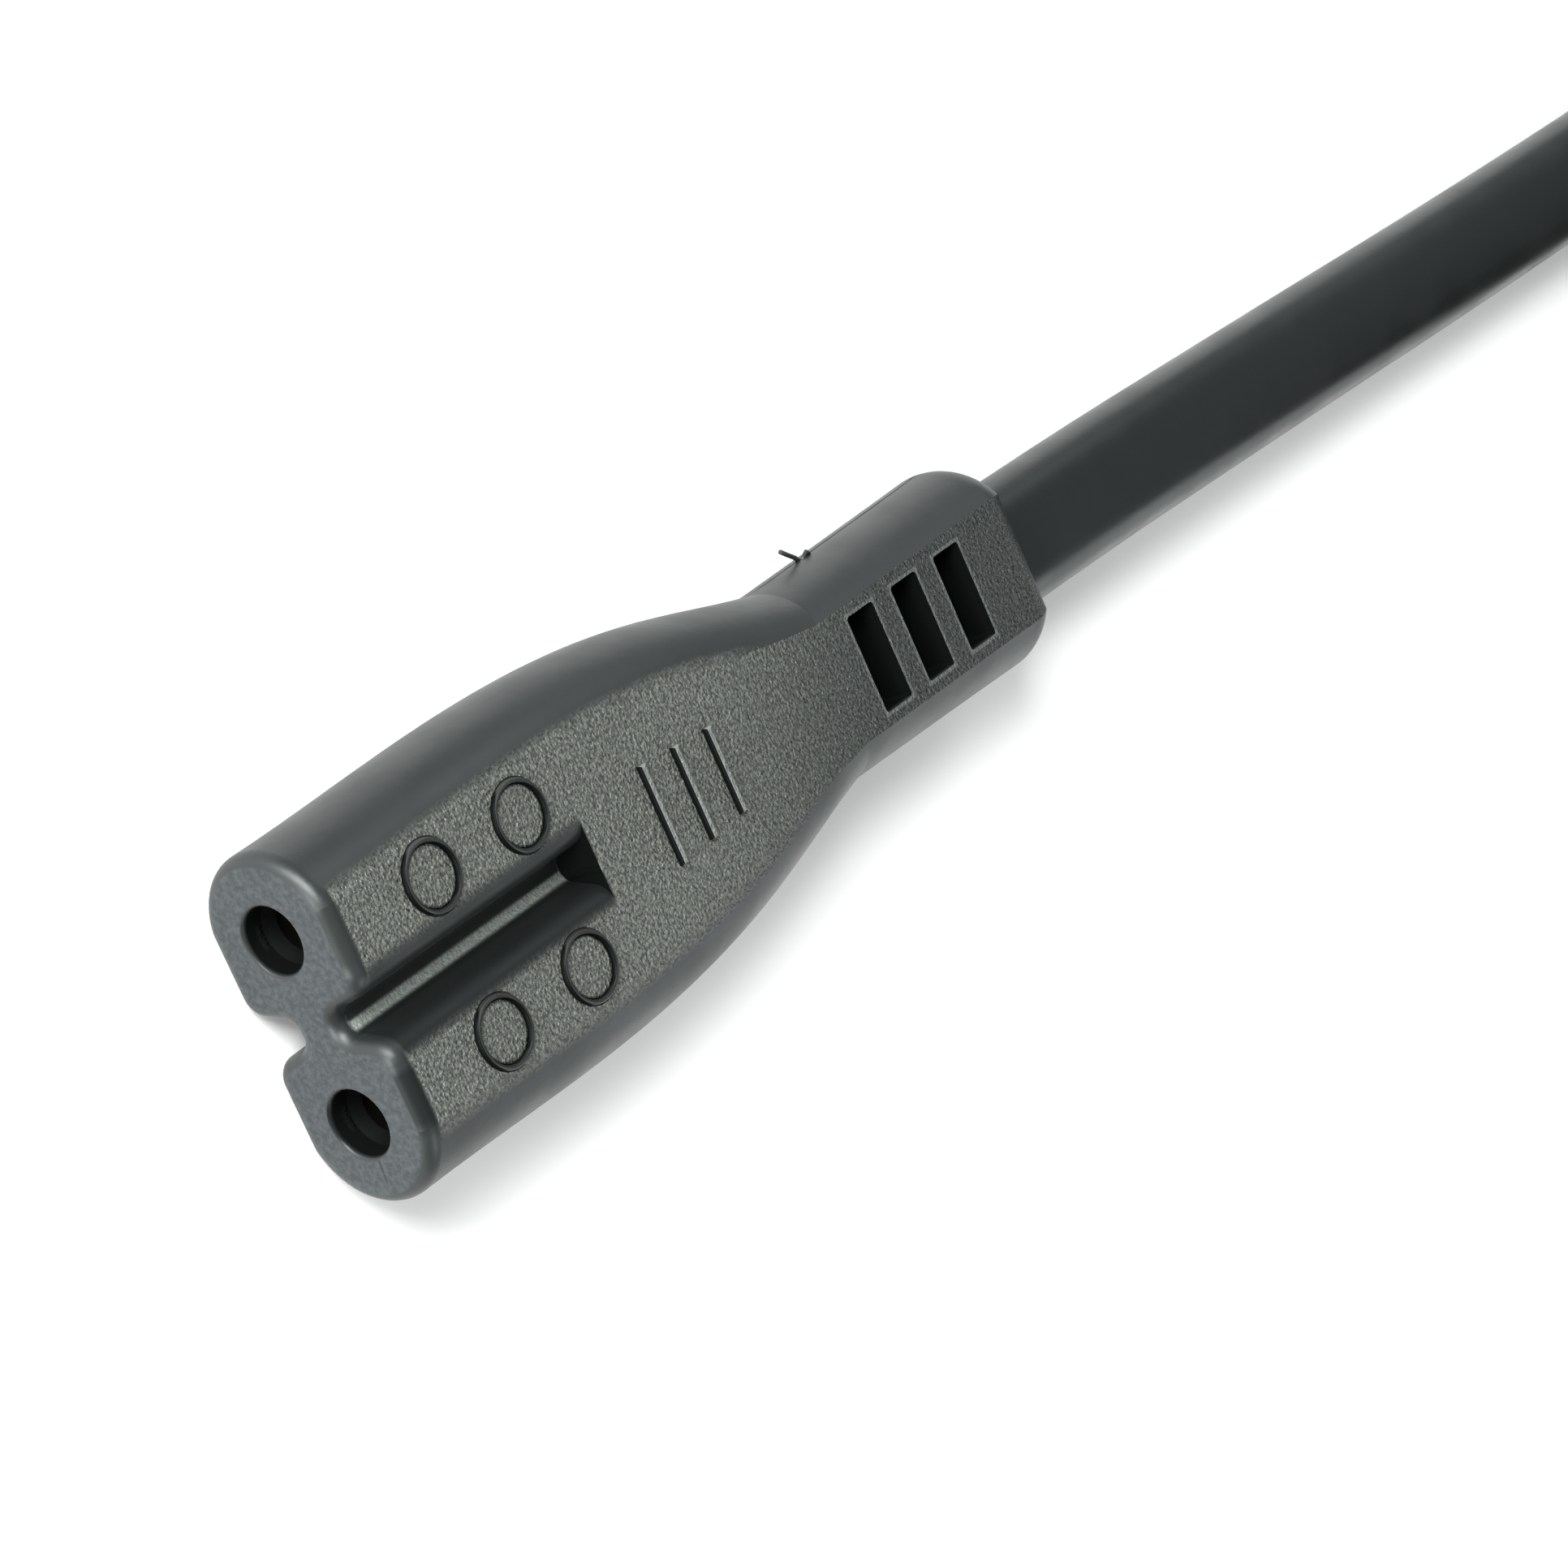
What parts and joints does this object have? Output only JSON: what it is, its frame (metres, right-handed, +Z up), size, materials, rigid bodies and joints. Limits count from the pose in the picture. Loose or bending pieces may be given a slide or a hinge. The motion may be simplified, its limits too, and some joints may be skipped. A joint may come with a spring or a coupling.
{
  "type": "figure eight power connector",
  "caption": "Moulded figure eight power connector with slotted strain relief, on a flat twin lead whose spare length is folded into a tied hank and ends in a flat mains plug.",
  "frame": {"origin": "on the table, under the middle of the connector's housing", "axes": "+Y from the mating face towards the cable, +Z up from the flat lower face, X across the two contacts"},
  "size_m": [0.0583, 0.2652, 0.0348],
  "materials": {
    "housing": "soft black moulding",
    "sheath": "satin black cable",
    "carrier": "hard black insert",
    "contact": "pressed sheet",
    "core_brown": "brown insulation",
    "core_blue": "blue insulation",
    "copper": "stranded copper",
    "pin": "plated",
    "sleeve": "black sleeve",
    "tie": "nylon strap"
  },
  "bodies": {
    "root": {"connector_body": "housing", "contact_carrier": "carrier", "socket_contact_left": "contact", "socket_contact_right": "contact", "core_left": "core_brown", "core_right": "core_blue", "conductor_left": "copper", "conductor_right": "copper", "cable_lead": "sheath", "cable_hank": "sheath", "hank_tie": "tie", "cable_tail": "sheath", "plug_body": "housing", "plug_bridge": "carrier", "plug_pin_left": "pin", "plug_pin_right": "pin", "pin_sleeve_left": "sleeve", "pin_sleeve_right": "sleeve", "plug_core_left": "core_brown", "plug_core_right": "core_blue", "plug_conductor_left": "copper", "plug_conductor_right": "copper"}
  },
  "joints": []
}
